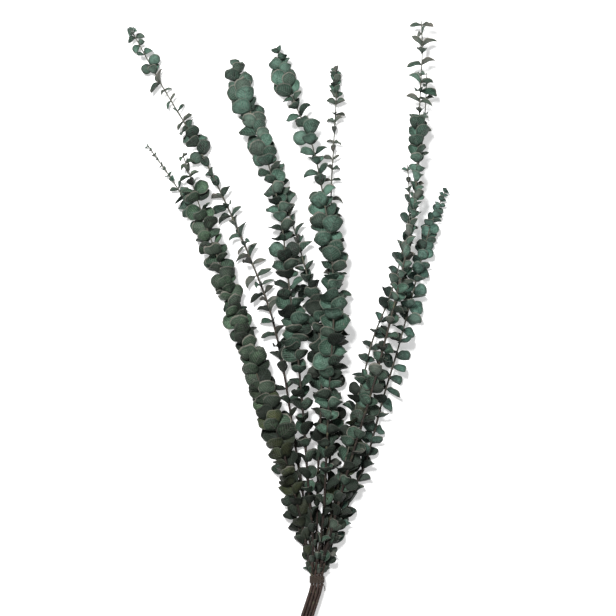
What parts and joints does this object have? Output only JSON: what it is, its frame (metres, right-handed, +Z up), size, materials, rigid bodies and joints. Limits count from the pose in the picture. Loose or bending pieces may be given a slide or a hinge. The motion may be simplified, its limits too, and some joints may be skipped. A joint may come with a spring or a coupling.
{
  "type": "bunch of dried eucalyptus",
  "caption": "Tied bunch of preserved round-leaf eucalyptus lying on a surface, its leafy stems fanned out from the tie to slender tips.",
  "frame": {"origin": "on the surface the bunch lies on, under the middle of its bounding box", "axes": "+Y along the bunch from the cut ends to the tips, +X to the right seen from above, +Z up from the surface"},
  "size_m": [0.3878, 0.7266, 0.0479],
  "materials": {
    "leaf_green": "matte preserved leaf",
    "leaf_olive": "matte preserved leaf, olive cast",
    "leaf_teal": "matte preserved leaf, blue-green cast",
    "stem_bark": "matte dark brown bark",
    "tie": "matte wound twine"
  },
  "bodies": {
    "root": {"leafy_stem_01": "leaf_green", "leafy_stem_02": "leaf_green", "leafy_stem_03": "leaf_olive", "leafy_stem_04": "leaf_green", "leafy_stem_05": "leaf_green", "leafy_stem_06": "leaf_green", "leafy_stem_07": "leaf_green", "leafy_stem_08": "leaf_green", "leafy_stem_09": "leaf_teal", "leafy_stem_10": "leaf_green", "leafy_stem_11": "leaf_green", "leafy_stem_12": "leaf_teal", "tie_band": "tie"}
  },
  "joints": []
}
